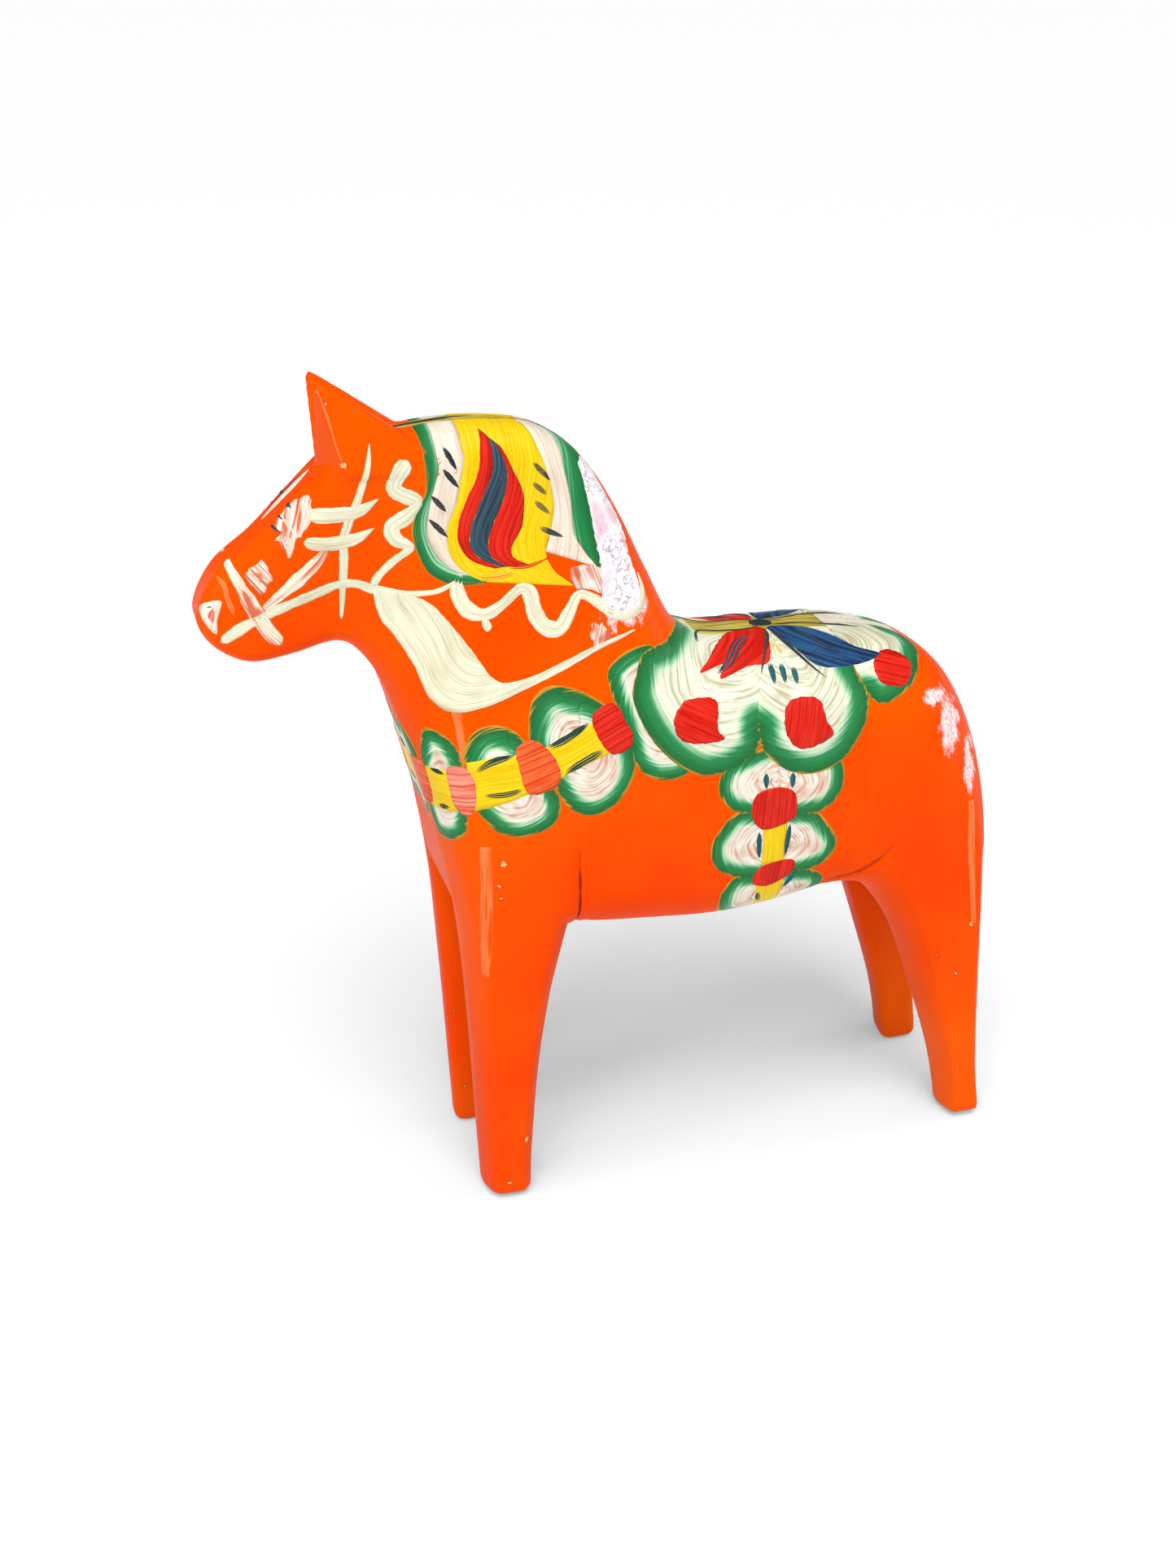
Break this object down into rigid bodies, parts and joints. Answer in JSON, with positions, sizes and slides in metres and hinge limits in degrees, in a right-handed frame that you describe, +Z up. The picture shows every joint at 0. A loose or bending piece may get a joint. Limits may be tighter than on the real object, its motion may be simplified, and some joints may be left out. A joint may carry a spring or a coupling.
{
  "type": "dala horse",
  "caption": "Free-standing carved and painted wooden folk-art horse, glued up from sawn boards with through dowels; stands on four flat hooves.",
  "frame": {"origin": "on the floor, under the middle of the whole figure", "axes": "+Z up, -X towards the nose, -Y to the horse's left side"},
  "size_m": [0.235, 0.0702, 0.25],
  "materials": {
    "orange_enamel": "pine under glossy orange-red enamel and clear varnish, lightly chipped and crazed",
    "bare_dowel": "bare turned birch",
    "cream_paint": "glossy cream brush strokes with bristle marks",
    "green_paint": "glossy green brush strokes shaded into mint",
    "yellow_paint": "glossy yellow brush strokes",
    "red_paint": "glossy red brush strokes",
    "blue_paint": "glossy dark blue and teal brush strokes"
  },
  "bodies": {
    "root": {"centre_board": "orange_enamel", "left_foreleg_board": "orange_enamel", "left_flank_board": "orange_enamel", "left_hind_leg_board": "orange_enamel", "right_foreleg_board": "orange_enamel", "right_flank_board": "orange_enamel", "right_hind_leg_board": "orange_enamel", "lower_foreleg_dowel": "bare_dowel", "upper_foreleg_dowel": "bare_dowel", "front_flank_dowel": "bare_dowel", "rear_flank_dowel": "bare_dowel", "lower_hind_leg_dowel": "bare_dowel", "upper_hind_leg_dowel": "bare_dowel"}
  },
  "joints": []
}
